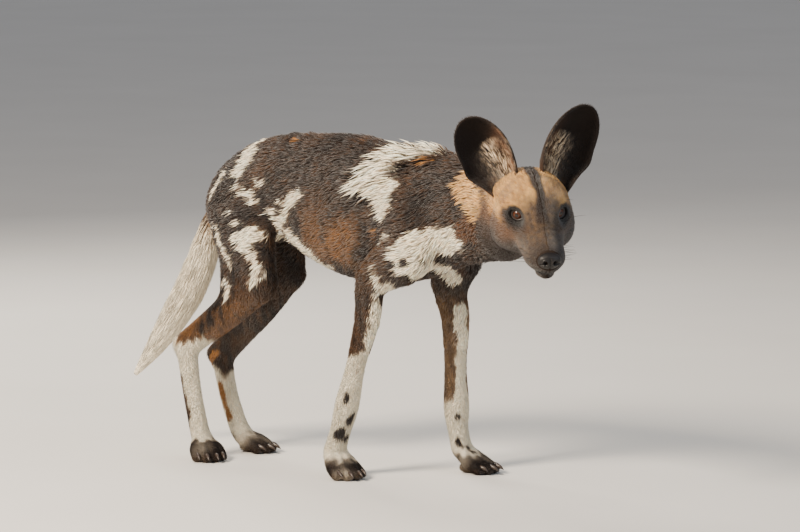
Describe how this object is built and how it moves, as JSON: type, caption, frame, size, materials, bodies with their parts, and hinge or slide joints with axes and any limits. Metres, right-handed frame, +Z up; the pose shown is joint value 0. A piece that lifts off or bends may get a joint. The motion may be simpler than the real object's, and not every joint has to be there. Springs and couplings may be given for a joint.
{
  "type": "african wild dog, half grown, standing life-size model",
  "caption": "Life-size still model of a young african wild dog in mid-step, low head turned to its right, with large round ears and a bushy hanging tail.",
  "frame": {"origin": "middle of the bounding box in plan, on the floor that the soles stand on", "axes": "+X towards the head along the body, +Y to the animal's left, +Z up"},
  "size_m": [0.7738, 0.2308, 0.5036],
  "materials": {
    "dark_coat": "short matt fur, dark brown to black with tan and white patches",
    "tan_coat": "short matt fur, golden tan with a dark stripe and a grey-brown muzzle",
    "pale_coat": "long and short matt fur, cream white",
    "ear_coat": "very short matt fur, black-brown",
    "nose_leather": "moist black leather",
    "eye": "dark brown iris and black pupil under a clear wet surface"
  },
  "bodies": {
    "root": {"torso": "dark_coat", "neck": "dark_coat", "head": "tan_coat", "nose": "nose_leather", "tail": "pale_coat", "ear_right": "ear_coat", "ear_left": "ear_coat", "eye_right": "eye", "eye_left": "eye", "foreleg_right": "dark_coat", "foreleg_left": "dark_coat", "hindleg_right": "dark_coat", "hindleg_left": "dark_coat", "forepaw_right": "pale_coat", "forepaw_left": "pale_coat", "hindpaw_right": "pale_coat", "hindpaw_left": "pale_coat"}
  },
  "joints": []
}
